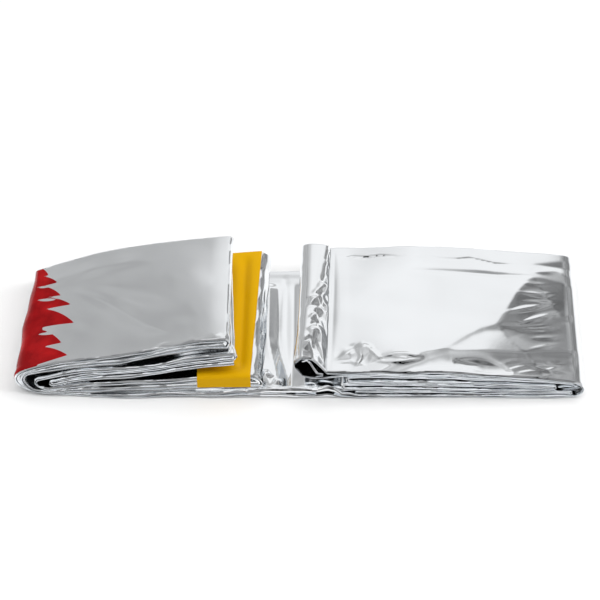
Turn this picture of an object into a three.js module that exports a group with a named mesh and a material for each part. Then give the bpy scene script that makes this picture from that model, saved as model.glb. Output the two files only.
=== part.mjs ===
// Emergency sleeping bag of thin metallised film, still in its packing folds.
// The bag is folded lengthwise to a narrow strip, and the strip lies back and forth in two stacks:
// a left one that fans open to the right, and a right one wrapped in its outer turn, with a puffed loop.
// A yellow band is stuck over the top and front of one fold of the left stack.
// Units are millimetres, +Z is up, +X runs along the strip, and the bag lies on the plane z = 0.
import * as THREE from "three";

const { clamp, lerp, smoothstep } = THREE.MathUtils;

// Driving dimensions
const OVERALL_LENGTH = 245;
const STRIP_WIDTH = 84.8;
const LAYER = 1.1; // thickness of one pressed run of the strip, all its plies together
const EDGE_ROUND = 0.5; // how far the plies bulge at the strip's long edges
const BAND_THICKNESS = 1;
const CLEARANCE = 0.3; // between the band and the film

const HALF = LAYER / 2;
const HALF_LENGTH = OVERALL_LENGTH / 2;
const EDGE_Y = STRIP_WIDTH / 2 - EDGE_ROUND; // long edge of a full-width run, before its bulge
const FLOOR_Z = HALF; // middle plane of the run that lies on the table

// Left stack: it closes at the left, where its folds lie one inside the other. One row for each run, in the
// strip's order from its free end. fold is the closed left end and open the right one; outerZ and innerZ are
// heights between them, at OUTER_X and INNER_X. front and back are the long edges. narrow is how far the back
// edge comes forward at the fold; skew and lift are how far the open end moves right and up from front to
// back. Heights are those of the run's middle plane.
const OUTER_X = -88;
const INNER_X = -56;
const LEFT_COLUMNS = [
  "foldX", "foldZ", "outerZ", "innerZ", "openX", "openZ", "front", "back", "narrow", "skew", "lift",
];
const LEFT_ROWS = {
  innerLow: [-106.2, 5.3, 10.3, 14.4, -28, 17.5, -39.4, 31.5, 1, 0.5, 0],
  innerHigh: [-107, 7.1, 12.4, 16.6, -28.9, 19.3, -39, 32.5, 2, 0.5, 0],
  middleHigh: [-112, 8.2, 14.6, 18.7, -28.9, 21.4, -39.2, 32, 2, 0.5, 0],
  banded: [-107.5, 3.65, 7.4, 9.9, -20.3, 11.4, -40.5, 41.4, 5, 4, 1.2],
  lowest: [-110.5, 1.95, 4, 5.6, -20.3, 6.9, -40.6, 41.2, 4, 4, 1.2],
  underCover: [-116.5, 9.8, 17.5, 23.4, -31.6, 25.4, -37.8, 32.4, 3, 0, -0.8],
  cover: [-117.8, 12.4, 22.1, 27.6, -31.6, 29.5, -38.2, 32.6, 4, 0, -1.6],
};
const LEFT_RUNS = Object.values(LEFT_ROWS).map((row) => named(LEFT_COLUMNS, row));
const FLOOR_FOLD_X = -111.6; // where the run on the table turns up into the left cover
const FLOOR_TAPER = 3.4; // how much narrower it is there, on each side

// Right stack: height of the cover over the table at the loop, at the crown and at the wrapped end.
const COVER_X = [22, 58, 112];
const COVER_Z = [14.9, 15.2, 11.7];
const WRAP_RADIUS = (COVER_Z[2] - FLOOR_Z) / 2;
const WRAP_X = HALF_LENGTH - HALF - WRAP_RADIUS;
const COVER_END_X = 19; // where the cover passes into the loop

// Inner runs of the right stack, upper one first: they share the height under the cover evenly.
const INNER_COLUMNS = ["leftX", "rightX", "front", "back"];
const INNER_RUNS = [
  [18, 117, -41.4, 41.6],
  [21.5, 117, -40.4, 41],
  [21.5, 117.4, -41.6, 40.4],
  [19.5, 117.4, -40.8, 41.4],
  [19.5, 116.2, -41.5, 40.8],
  [24, 116.2, -40.9, 41.2],
].map((row) => named(INNER_COLUMNS, row));

// Puffed loop at the left end of the right stack: middle plane of the film from the cover round to the
// first inner run. It sinks towards the back, where it lies nearly as flat as the cover.
const LOOP_XZ = [
  [12.6, 15.6], [9.4, 18.6], [6.2, 22.8], [2.2, 24.4], [-0.4, 21.6],
  [-0.2, 16.6], [2.2, 13], [6.4, 11.9], [12, 12],
];
const LOOP = { front: -41.6, back: 41.6, skew: 2.4, sink: 0.75 };

// Ridges where the film rises off the table between the stacks
const RIDGES = [
  { x: -12.6, height: 4.6, half: 4.2 },
  { x: -5.6, height: 0.9, half: 2.6 },
  { x: 2.6, height: 3.4, half: 4.4 },
];
const BRIDGE = { from: -17, to: 7, step: 1.5 };

// Slow unevenness of the stacks: height of the waves, their lengths, and where they set in above the table
const WAVES = { along: 0.35, alongLength: 13, across: 0.25, acrossLength: 15, fromZ: 2, fullZ: 14 };

// Yellow band: from leftX to just past the banded run's open end, and down its front to bottomZ
const BAND = { leftX: -44, past: 0.8, bottomZ: 5.9, cornerRadius: 1.5, edgeRound: 0.2, cornerSteps: 4 };
const BAND_SHARES = [0, 0.35, 0.7, 1]; // places across the band, left to right

// Sampling of the strip
const ACROSS = [-0.5, -0.36, -0.12, 0.14, 0.38, 0.5]; // places across its width, front to back
const STEPS = { run: 7, inner: 5, fold: 5, foldPerMm: 0.4, loop: 18 };
const HALF_TURN_REACH = 2 / 3; // handles of a round half turn, as a share of its width

function named(columns, row) {
  return Object.fromEntries(columns.map((column, i) => [column, row[i]]));
}

// A smooth height through a few points along X
function heightThrough(xs, zs) {
  const curve = new THREE.CubicInterpolant(xs, zs, 1);
  return (x) => curve.evaluate(clamp(x, xs[0], xs.at(-1)))[0];
}

// A station of the strip: a point of its middle plane, with its long edges there.
function station(x, z, edges) {
  return { x, z, skew: 0, lift: 0, ...edges };
}

// Stations of a fold: a half turn from the end of the path into the next run, along the slopes of both
function foldInto(path, run) {
  const [before, from] = path.slice(-2);
  const [to, after] = run;
  const flat = (s) => new THREE.Vector2(s.x, s.z);
  const width = flat(from).distanceTo(flat(to));
  const handle = (start, end) => flat(end).sub(flat(start)).setLength(width * HALF_TURN_REACH);
  const leaving = flat(from).add(handle(before, from));
  const arriving = flat(to).sub(handle(to, after));
  const curve = new THREE.CubicBezierCurve(flat(from), leaving, arriving, flat(to));
  const steps = STEPS.fold + Math.round(STEPS.foldPerMm * width);
  return curve.getPoints(steps).slice(1, -1).map((p, i) => {
    const mix = (key) => lerp(from[key], to[key], (i + 1) / steps);
    return station(p.x, p.y, { front: mix("front"), back: mix("back"), skew: mix("skew"), lift: mix("lift") });
  });
}

// A station of a left run at x
function leftStation(row, x) {
  const height = heightThrough(
    [row.foldX, OUTER_X, INNER_X, row.openX],
    [row.foldZ, row.outerZ, row.innerZ, row.openZ],
  );
  const opened = (x - row.foldX) / (row.openX - row.foldX);
  const back = row.back - row.narrow * (1 - opened);
  return station(x, height(x), { front: row.front, back, skew: row.skew * opened, lift: row.lift * opened });
}

function leftRun(row) {
  return between(row.foldX, row.openX, STEPS.run).map((x) => leftStation(row, x));
}

function between(from, to, steps) {
  return Array.from({ length: steps + 1 }, (_, i) => lerp(from, to, i / steps));
}

// A run of the right stack; share 0 would be the run on the table, and 1 is the cover.
function rightRun(fromX, toX, share, edges, steps) {
  const cover = heightThrough(COVER_X, COVER_Z);
  return between(fromX, toX, steps).map((x) => station(x, lerp(FLOOR_Z, cover(x), share), edges));
}

// How far the film rises off the table at x
function ridgeHeight(x) {
  const heights = RIDGES.map((ridge) => {
    const away = clamp(Math.abs(x - ridge.x) / ridge.half, 0, 1);
    return ridge.height * (0.5 + 0.5 * Math.cos(Math.PI * away));
  });
  return Math.max(...heights);
}

// The run on the table, under both stacks, with the ridged bridge between them
function floorRun() {
  const bridge = between(BRIDGE.from, BRIDGE.to, Math.round((BRIDGE.to - BRIDGE.from) / BRIDGE.step));
  return [FLOOR_FOLD_X, OUTER_X, INNER_X, ...bridge, COVER_X[1], COVER_X[2], WRAP_X].map((x) => {
    const edge = EDGE_Y - FLOOR_TAPER * (1 - clamp((x - FLOOR_FOLD_X) / (OUTER_X - FLOOR_FOLD_X), 0, 1));
    return station(x, FLOOR_Z + ridgeHeight(x), { front: -edge, back: edge });
  });
}

// The puffed loop, lower towards its back end
function loopRun() {
  const curve = new THREE.SplineCurve(LOOP_XZ.map(([x, z]) => new THREE.Vector2(x, z)));
  return curve.getSpacedPoints(STEPS.loop).map((p) => {
    const sunk = LOOP.sink * Math.max(0, p.y - COVER_Z[0]);
    return station(p.x, p.y - sunk / 2, { ...LOOP, lift: -sunk });
  });
}

// The whole strip, from its free end inside the left stack to the one inside the right stack
function bagStations() {
  const path = [];
  const goOn = (run) => path.push(...run);
  const fold = (run) => path.push(...foldInto(path, run), ...run);
  const [freeEnd, ...foldedRuns] = LEFT_RUNS.map(leftRun);
  goOn(freeEnd.toReversed());
  foldedRuns.forEach((run, i) => fold(i % 2 ? run.toReversed() : run));
  fold(floorRun());
  fold(rightRun(WRAP_X, COVER_END_X, 1, { front: -EDGE_Y, back: EDGE_Y }, STEPS.run));
  goOn(loopRun());
  const [fromLoop, ...innerRuns] = INNER_RUNS.map(({ leftX, rightX, front, back }, i) => {
    const share = 1 - (i + 1) / (INNER_RUNS.length + 1);
    return rightRun(leftX, rightX, share, { front, back }, STEPS.inner);
  });
  goOn(fromLoop);
  innerRuns.forEach((run, i) => fold(i % 2 ? run : run.toReversed()));
  return path;
}

// Moves a point by the unevenness of the stacks.
function settle(point) {
  const share = smoothstep(point.z, WAVES.fromZ, WAVES.fullZ);
  const along = WAVES.along * Math.sin(point.x / WAVES.alongLength) * Math.cos(point.y / WAVES.acrossLength);
  point.z += share * (along + WAVES.across * Math.sin(point.y / WAVES.acrossLength));
  return point;
}

// A point of the strip at a place across its width, off its middle plane, and past its long edge
function stripPoint(s, normal, across, off, past = 0) {
  const x = s.x + s.skew * across + normal.x * off;
  const y = lerp(s.front, s.back, across + 0.5) + past;
  const z = s.z + s.lift * across + normal.y * off;
  return settle(new THREE.Vector3(x, y, z));
}

// The strip's section at every station: a ring up one face, round the back edge and down the other face
function stripRings(path) {
  return path.map((s, i) => {
    const before = path[Math.max(0, i - 1)];
    const after = path[Math.min(path.length - 1, i + 1)];
    const normal = new THREE.Vector2(before.z - after.z, after.x - before.x).normalize();
    const upper = ACROSS.map((a) => stripPoint(s, normal, a, HALF));
    const lower = ACROSS.map((a) => stripPoint(s, normal, a, -HALF));
    const backEdge = stripPoint(s, normal, 0.5, 0, EDGE_ROUND);
    const frontEdge = stripPoint(s, normal, -0.5, 0, -EDGE_ROUND);
    return [...upper, backEdge, ...lower.toReversed(), frontEdge];
  });
}

// The banded run's upper face at x and a place across
function bandedTop(x, across) {
  const s = leftStation(named(LEFT_COLUMNS, LEFT_ROWS.banded), x);
  return { y: lerp(s.front, s.back, across + 0.5), z: s.z + s.lift * across + HALF };
}

// Points of the band's middle plane at one place across it, from its back edge to its lower front edge,
// with the direction that faces away from the film
function bandLine(share) {
  const row = named(LEFT_COLUMNS, LEFT_ROWS.banded);
  const proud = CLEARANCE + BAND_THICKNESS / 2;
  const line = ACROSS.toReversed().slice(0, -1).map((across) => {
    const x = lerp(BAND.leftX, row.openX + BAND.past + row.skew * across, share);
    const top = bandedTop(Math.min(x - row.skew * across, row.openX), across);
    return { x, y: top.y, z: top.z + proud, away: new THREE.Vector3(0, 0, 1) };
  });
  const frontX = lerp(BAND.leftX, row.openX + BAND.past + row.skew * ACROSS[0], share);
  const corner = bandedTop(Math.min(frontX, row.openX), ACROSS[0]);
  const middleY = row.front - EDGE_ROUND - proud + BAND.cornerRadius;
  const middleZ = corner.z + proud - BAND.cornerRadius;
  for (let i = 0; i <= BAND.cornerSteps; i += 1) {
    const angle = (Math.PI / 2) * (i / BAND.cornerSteps);
    const away = new THREE.Vector3(0, -Math.sin(angle), Math.cos(angle));
    const y = middleY + BAND.cornerRadius * away.y;
    line.push({ x: frontX, y, z: middleZ + BAND.cornerRadius * away.z, away });
  }
  const last = line.at(-1);
  line.push({ ...last, z: BAND.bottomZ });
  return line;
}

// The band's section at every step along it, as a ring like the strip's
function bandRings() {
  const lines = BAND_SHARES.map(bandLine);
  const point = (p, off, past) => {
    const moved = new THREE.Vector3(p.x + past, p.y, p.z).addScaledVector(p.away, off);
    return settle(moved);
  };
  return lines[0].map((_, i) => {
    const row = lines.map((line) => line[i]);
    const outer = row.map((p) => point(p, BAND_THICKNESS / 2, 0));
    const inner = row.map((p) => point(p, -BAND_THICKNESS / 2, 0));
    const rightEdge = point(row.at(-1), 0, BAND.edgeRound);
    const leftEdge = point(row[0], 0, -BAND.edgeRound);
    return [...outer, rightEdge, ...inner.toReversed(), leftEdge];
  });
}

// Triangles that fill the ring at an end of a sheet with count points on each face
function endTriangles(count) {
  const made = [
    [2 * count + 1, 0, 2 * count],
    [count - 1, count, count + 1],
  ];
  for (let j = 0; j + 1 < count; j += 1) {
    const below = 2 * count - j;
    made.push([j, j + 1, below - 1], [j, below - 1, below]);
  }
  return made;
}

// Closed solid through a row of rings
function sheetGeometry(rings) {
  const size = rings[0].length;
  const index = [];
  for (let i = 0; i + 1 < rings.length; i += 1) {
    for (let j = 0; j < size; j += 1) {
      const a = i * size + j;
      const b = i * size + ((j + 1) % size);
      index.push(a, a + size, b, b, a + size, b + size);
    }
  }
  const last = (rings.length - 1) * size;
  endTriangles(size / 2 - 1).forEach(([a, b, c]) => index.push(a, b, c, last + a, last + c, last + b));
  const geometry = new THREE.BufferGeometry().setFromPoints(rings.flat());
  geometry.setIndex(index);
  geometry.computeVertexNormals();
  return geometry;
}

function sheetMesh(name, rings, material) {
  const mesh = new THREE.Mesh(sheetGeometry(rings), material);
  mesh.name = name;
  return mesh;
}

const foil = new THREE.MeshStandardMaterial({ color: 0xd9dbdd, metalness: 1, roughness: 0.12 });
const yellowFilm = new THREE.MeshStandardMaterial({ color: 0xf0b40a, metalness: 0, roughness: 0.4 });

const group = new THREE.Group();
group.add(sheetMesh("foil_bag", stripRings(bagStations()), foil));
group.add(sheetMesh("yellow_band", bandRings(), yellowFilm));

export default group;
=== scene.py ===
# Looks of a folded emergency sleeping bag: mirror-bright film in its packing folds, with a yellow band.
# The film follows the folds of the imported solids. Sizes here are millimetres until a mesh is made: +X runs
# along the strip, +Y to the back and +Z up, and the bag lies on the plane z = 0.
import math
from collections import namedtuple

import bpy
import numpy as np
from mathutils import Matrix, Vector


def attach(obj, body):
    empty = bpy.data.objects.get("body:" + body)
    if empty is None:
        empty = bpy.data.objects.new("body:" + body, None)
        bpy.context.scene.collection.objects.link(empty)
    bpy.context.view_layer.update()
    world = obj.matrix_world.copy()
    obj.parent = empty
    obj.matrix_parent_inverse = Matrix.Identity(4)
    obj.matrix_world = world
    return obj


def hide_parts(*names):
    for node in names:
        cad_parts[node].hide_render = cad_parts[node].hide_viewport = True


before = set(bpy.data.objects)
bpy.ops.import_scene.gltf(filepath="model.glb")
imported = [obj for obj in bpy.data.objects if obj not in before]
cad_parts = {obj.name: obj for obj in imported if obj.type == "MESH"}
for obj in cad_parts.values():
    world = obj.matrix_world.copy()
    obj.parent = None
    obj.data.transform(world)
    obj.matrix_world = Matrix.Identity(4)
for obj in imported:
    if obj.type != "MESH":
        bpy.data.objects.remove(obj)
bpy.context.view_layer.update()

MM = 0.001

# The strip: one run is many plies of film pressed together
STRIP_WIDTH = 84.8
HALF_LENGTH = 122.5
HALF_RUN = 0.55  # half the thickness of a run of the solids
HALF_LAYER = 0.48  # half the thickness of a run that shows
FLOOR_Z = HALF_RUN  # middle plane of the run that lies on the table
EDGE_ROOM = 0.5  # the faces of a run end this far inside the strip's edge
EDGE_Y = STRIP_WIDTH / 2 - EDGE_ROOM
EDGE_WANDER = [(0.35, 34.0), (0.2, 60.0)]  # how far the front and back edge wander, and over what length

# Along its edges the film of a run shows as plies, each a round with a slit to the next one
PLIES = 2
EDGE_BULGE = 0.75  # how far the rounds stand out of the edge
PLY_ANGLES = np.radians([-76, -40, 0, 40, 76])  # places round a ply
SLIT_SHARE = 0.38  # share of a ply's height that is the slit
SLIT_DEPTH = 5.5  # how far in the slits end, where the plies are pressed together
PLY_WANDER = {"front": 0.3, "back": 0.2}  # how far plies stand in or out, as a share of the bulge
PLY_WANDER_FACETS = (11.0, 4)  # cell and waves
PLY_WAVER = 0.16  # how far their seams go up and down, as a share of the run's half thickness
PLY_WAVER_FACETS = (12.0, 3)
PLY_APART = 23.0  # plies take their unevenness from places this far apart

# Left stack, a row for each run: fold is its closed left end, open its right one, and outer_z and inner_z
# are heights between them. The back edge is narrower by narrow at the fold. The open end moves right by
# skew and up by lift from front to back.
OUTER_X = -88.0
INNER_X = -56.0
LeftRun = namedtuple("LeftRun", "fold_x fold_z outer_z inner_z open_x open_z front back narrow skew lift")
LEFT_RUNS = {
    "inner_low": LeftRun(-106.2, 5.3, 10.3, 14.4, -29.6, 17.5, -39.4, 31.5, 1, -2.8, 0),
    "inner_high": LeftRun(-107, 7.1, 12.4, 16.6, -30.6, 19.3, -39, 32.5, 2, -3.0, 0),
    "middle_high": LeftRun(-112, 8.2, 14.6, 18.7, -30.6, 21.4, -39.2, 32, 2, -3.0, 0),
    "banded": LeftRun(-107.5, 3.65, 7.4, 9.9, -20.3, 11.4, -40.5, 41.4, 5, 4, 1.2),
    "lowest": LeftRun(-110.5, 1.95, 4, 5.6, -17.0, 6.9, -40.6, 41.2, 4, 3, 1.2),
    "under_cover": LeftRun(-116.5, 9.8, 17.5, 23.4, -31.6, 25.4, -37.8, 32.4, 3, 0, -0.8),
    "left_cover": LeftRun(-117.8, 12.4, 22.1, 27.6, -31.6, 29.5, -38.2, 32.6, 4, 0, -1.6),
}
FLOOR_FOLD_X = -111.6
FLOOR_TAPER = 3.4

# Right stack: heights of its cover, and the runs inside it, upper one first
COVER_X = np.array([22.0, 58.0, 116.4])
COVER_Z = np.array([14.9, 15.2, 11.7])
COVER_END_X = 12.6
WRAP_X = HALF_LENGTH - HALF_RUN - (COVER_Z[2] - FLOOR_Z) / 2
InnerRun = namedtuple("InnerRun", "left_x right_x front back")
INNER_RUNS = [
    InnerRun(18, 117, -41.4, 41.6),
    InnerRun(21.5, 117, -40.4, 41),
    InnerRun(21.5, 109, -41.6, 40.4),
    InnerRun(19.5, 109, -40.8, 41.4),
    InnerRun(19.5, 116.2, -41.5, 40.8),
    InnerRun(24, 116.2, -40.9, 41.2),
]

# Puffed loop at the left end of the right stack: x and z of the film from the cover round to the first
# inner run, at the front and, where it is lower, at the back. Its front edge is pressed into corners.
LOOP_XZ = np.array([
    (12.6, 14.9), (9.8, 18.8), (7, 22.6), (4.6, 23.9), (2.2, 24.2), (0.4, 23.3), (-0.6, 21.4),
    (-0.4, 17.4), (2.2, 13.2), (6.4, 11.9), (12, 12),
])
LOOP_BACK_XZ = np.array([
    (12.6, 14.9), (11.9, 15.9), (11.2, 16.8), (8.4, 17.4), (4.2, 17.5), (1.4, 17), (0.2, 16.2),
    (0, 14.8), (2.2, 13.2), (6.4, 12), (12, 12),
])
LOOP_FRONT_XZ = np.array([
    (12.6, 14.9), (8.6, 19.8), (6.4, 22), (1.6, 22.6), (-1, 20),
    (-0.6, 17.2), (2.6, 12.6), (7, 11.7), (12, 12),
])
LOOP_FRONT_FROM = 22.0
LOOP_EDGE = 41.6
LOOP_SKEW = 2.4
LOOP_SKEW_FADES_X = 24.0

# Loose plies that show in the mouths of the loop and of the wrap: half their thickness, their front and
# back edge, and x and z of their points
LoosePly = namedtuple("LoosePly", "half front back points")
LOOSE_PLIES = {
    "film_loop_ply": LoosePly(0.42, -41.2, -22, [
        (0.9, 20.3), (3.0, 20.9), (4.2, 19.4), (5.8, 16.0), (7.4, 13.3), (9.8, 12.9),
    ]),
    "film_wrap_ply": LoosePly(0.2, -41.0, -27, [
        (118.3, 9.8), (119.8, 8.4), (118.6, 7.5), (113.5, 7.4), (110.8, 6.8), (115, 6.1), (120.7, 6.9),
        (119.3, 5.7), (113, 5.1), (118.4, 4.7), (120.2, 4), (118.7, 2.9),
    ]),
}
LOOSE_PLY_STEPS, LOOSE_PLY_ROWS = 60, 20
LOOSE_PLY_SEED = 59

# Section of the film between the stacks, where it rises off the table in ridges: its corners in the
# middle of the strip and at the front edge
Corner = namedtuple("Corner", "x rise front_x front_rise")
BRIDGE_CORNERS = [
    Corner(-22.5, 0, -22.8, 0),
    Corner(-19, 1.4, -17.8, 3),
    Corner(-14.2, 1.6, -9.4, 2.3),
    Corner(-9.9, 0.6, -5.2, 0.6),
    Corner(-2.2, 0.05, -3.6, 0.3),
    Corner(2.6, 2, 2, 1.6),
    Corner(7, 0, 7, 0),
]
RIDGE_TURNS = (4.0, 42.0)  # from the one to the other between these places in front of the middle
RIDGE_FADES = (29.0, 35.0)  # the ridges end between these y
BRIDGE = (-23.0, 15.0)

# Trough along the yellow band, and how much narrower the left fold is at its back end
BAND_TROUGH, BAND_TROUGH_WIDTH = 1.4, 2.4
BAND_TROUGH_X, BAND_TROUGH_FRONT_X = -24.6, -25.8
BAND_TROUGH_STARTS, BAND_TROUGH_ENDS = (-39.0, -31.0), (33.0, 41.0)
LEFT_FOLD_PINCH, LEFT_FOLD_PINCH_FROM_Y = 0.65, -8.0

# Slow unevenness of the stacks
WAVE_ALONG, WAVE_ALONG_LENGTH = 0.35, 13.0
WAVE_ACROSS, WAVE_ACROSS_LENGTH = 0.25, 15.0
WAVE_FROM_Z, WAVE_FULL_Z = 2.0, 14.0

# The right stack sinks on the left of these lines, seen along them from above: first by slope, then less
# and less until it is level again after reach. All along its right end it droops too.
Sag = namedtuple("Sag", "slope reach points")
SAGS = [
    Sag(0.09, 26.0, [
        (128, 18.5), (118, 21.5), (110, 24), (104.5, 25), (101.8, 22.6), (95, 11.2), (88.9, -2.9),
        (85.4, -10.4), (89.5, -19), (97, -28.9), (106, -46),
    ]),
    Sag(0.09, 14.0, [
        (126, 40), (113, 37), (106.4, 35), (104.6, 33.8), (104.4, 32.4), (105.6, 31.2), (111, 28.8),
        (119, 25.5), (128, 21.5),
    ]),
    Sag(0.08, 4.5, [
        (125, 4), (104, -5), (88, -8.4), (79, -11.2), (72.2, -15.9), (64.7, -23), (55.6, -28.9), (28, -44),
    ]),
    Sag(0.15, 14.0, [
        (130, -20), (104, -24), (94, -26.4), (64, -26.6), (54, -28), (46, -31.5), (38, -37.5), (28, -46),
    ]),
]
SAG_SOFT = 2.5  # the film bends over this width
SAG_FULL_Z = 15.0  # lower runs sink less
DROOP, DROOP_X = 1.1, (95.0, 117.0)
FRONT_SAG = 0.15  # the left stack sinks by up to this share of its height at its front
FRONT_SAG_X = (-116.0, -40.0)
FRONT_SAG_Y = (-38.0, 12.0)
END_SKEW, END_SKEW_X = 2.6, (98.0, 121.0)  # the right end goes further at the back
LOWEST_Z = 0.02  # the film stays this far above the table

# The strip is made in four pieces, which meet where the stacks hide the cuts
LOWEST_CUT_X = -32.0
FLOOR_CUT_X = -45.0
CORE_CUT_X = 30.0

# Spacing of mesh points along the strip
FINE, MEDIUM, COARSE = 0.65, 1.4, 3.2
FOLD_STEP, FEWEST_FOLD_STEPS = 0.45, 7
LOOP_STATIONS = 84
CURVE_STEPS = 40  # from each given point of a curve to the next

# A half turn that is 1 wide: its length, and the slope that its curve starts and ends with
HALF_TURN_LENGTH = 1.7
HALF_TURN_SLOPE = 2.0
COVER_CREASE = 55.0  # how far the turn under the left cover is creased, in degrees

X, Z, FRONT, BACK, SKEW, LIFT = range(6)


def part_way(value, low, high):
    """How much of the way from low to high a value is, from 0 to 1"""
    return np.clip((value - low) / (high - low), 0, 1)


def smoothstep(value, low, high):
    t = part_way(value, low, high)
    return t * t * (3 - 2 * t)


def spread(start, end, step=MEDIUM):
    return np.linspace(start, end, max(2, round(abs(end - start) / step) + 1))


def cubic(t, start, end, leaving, arriving):
    """A smooth way from start to end, with the slopes that it leaves and arrives with"""
    from_start = (1 + 2 * t) * (1 - t) ** 2 * start + t * (1 - t) ** 2 * leaving
    return from_start + t * t * (3 - 2 * t) * end - t * t * (1 - t) * arriving


def height_through(xs, zs, x):
    """A smooth height through a few points: at each, the slope is the mean of those beside it"""
    xs, zs = np.asarray(xs, float), np.asarray(zs, float)
    secants = np.diff(zs) / np.diff(xs)
    slopes = np.r_[secants[0], (secants[:-1] + secants[1:]) / 2, secants[-1]]
    i = np.clip(np.searchsorted(xs, x) - 1, 0, len(xs) - 2)
    width = xs[i + 1] - xs[i]
    t = part_way(x, xs[i], xs[i + 1])
    return cubic(t, zs[i], zs[i + 1], width * slopes[i], width * slopes[i + 1])


def stations(x, z, front, back, skew=0.0, lift=0.0):
    """Rows of x, z, front, back, skew and lift along a run."""
    return np.stack(np.broadcast_arrays(x, z, front, back, skew, lift), axis=1).astype(float)


def left_run(name, x):
    row = LEFT_RUNS[name]
    z = height_through(
        [row.fold_x, OUTER_X, INNER_X, row.open_x], [row.fold_z, row.outer_z, row.inner_z, row.open_z], x
    )
    opened = (x - row.fold_x) / (row.open_x - row.fold_x)
    back = row.back - row.narrow * (1 - opened)
    return stations(x, z, row.front, back, row.skew * opened, row.lift * opened)


def opening(name, step=MEDIUM):
    """A left run from its fold to its open end"""
    return left_run(name, spread(LEFT_RUNS[name].fold_x, LEFT_RUNS[name].open_x, step))


def floor_run(start, end, step=MEDIUM):
    x = spread(start, end, step)
    edge = EDGE_Y - FLOOR_TAPER * (1 - part_way(x, FLOOR_FOLD_X, OUTER_X))
    return stations(x, FLOOR_Z, -edge, edge)


def bridge_rise(x, y):
    """Height of the film between the stacks above the flat run"""
    turned = smoothstep(-y, *RIDGE_TURNS)
    places = [corner.x + (corner.front_x - corner.x) * turned for corner in BRIDGE_CORNERS]
    rises = [corner.rise + (corner.front_rise - corner.rise) * turned for corner in BRIDGE_CORNERS]
    rise = np.zeros_like(x)
    for k in range(len(places) - 1):
        rise += (rises[k + 1] - rises[k]) * part_way(x, places[k], places[k + 1])
    return rise * (1 - smoothstep(y, *RIDGE_FADES))


def band_trough(x, y):
    """Depth of the trough along the yellow band, which ends short of both edges"""
    middle = BAND_TROUGH_FRONT_X + (BAND_TROUGH_X - BAND_TROUGH_FRONT_X) * (y / STRIP_WIDTH + 0.5)
    ends = smoothstep(y, *BAND_TROUGH_STARTS) * (1 - smoothstep(y, *BAND_TROUGH_ENDS))
    return BAND_TROUGH * np.exp(-((x - middle) / BAND_TROUGH_WIDTH) ** 2) * ends


def right_run(start, end, share, front, back, step):
    """A run of the right stack: share 0 would be the one on the table, and 1 is the cover."""
    x = spread(start, end, step)
    cover = height_through(COVER_X, COVER_Z, x)
    skew = LOOP_SKEW * (1 - smoothstep(x, COVER_END_X, LOOP_SKEW_FADES_X)) if share == 1 else 0.0
    return stations(x, FLOOR_Z + (cover - FLOOR_Z) * share, front, back, skew)


def inner_run(index, start, end, step=MEDIUM):
    row = INNER_RUNS[index]
    share = 1 - (index + 1) / (len(INNER_RUNS) + 1)
    return right_run(start, end, share, row.front, row.back, step)


def along_points(points, count):
    """Places at even distances along the first two columns of a row of points"""
    reached = np.r_[0, np.cumsum(np.hypot(*np.diff(points[:, :2], axis=0).T))]
    even = np.linspace(0, reached[-1], count)
    return np.stack([np.interp(even, reached, column) for column in points.T], axis=1)


def curve_through(points):
    """Many points of a smooth curve through a few"""
    padded = np.vstack([points[:1], points, points[-1:]])
    before, start, end, after = (padded[i:len(padded) - 3 + i, None] for i in range(4))
    t = np.linspace(0, 1, CURVE_STEPS, endpoint=False)[None, :, None]
    curve = cubic(t, start, end, (end - before) / 2, (after - start) / 2)
    return np.vstack([curve.reshape(-1, points.shape[1]), points[-1:]])


def loop_run(count):
    """The puffed loop, lower towards its back end"""
    sections = along_points(curve_through(np.hstack([LOOP_XZ, LOOP_BACK_XZ])), count)
    front, back = sections[:, :2], sections[:, 2:]
    x, z = ((front + back) / 2).T
    skew, lift = (back - front).T
    return stations(x, z, -LOOP_EDGE, LOOP_EDGE, LOOP_SKEW + skew, lift)


def press_loop_front(centres):
    """Moves the loop's film towards the corners of its front edge."""
    corners = along_points(LOOP_FRONT_XZ, len(centres))
    share = smoothstep(-centres[..., 1], LOOP_FRONT_FROM, LOOP_EDGE)
    centres[..., 0] += share * (corners[:, None, 0] - LOOP_SKEW / 2 - centres[..., 0])
    centres[..., 2] += share * (corners[:, None, 1] - centres[..., 2])


def shape_film(areas, centres):
    """Moves the film where its shape changes across the strip. Returns how far it rises off the table."""
    rise = np.zeros(centres.shape[:2])
    for area in np.unique(areas):
        here = areas == area
        film = centres[here]
        x, y = film[..., 0], film[..., 1]
        if area == "bridge":
            rise[here] = bridge_rise(x, y)
            film[..., 2] += rise[here]
        elif area == "loop":
            press_loop_front(film)
        elif area == "banded":
            film[..., 2] -= band_trough(x, y)
        elif area == "left_fold":
            cover = LEFT_RUNS["left_cover"]
            bulge = np.maximum(0, cover.fold_x - x)
            film[..., 0] += LEFT_FOLD_PINCH * bulge * smoothstep(y, LEFT_FOLD_PINCH_FROM_Y, cover.back)
        centres[here] = film
    return rise


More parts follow.
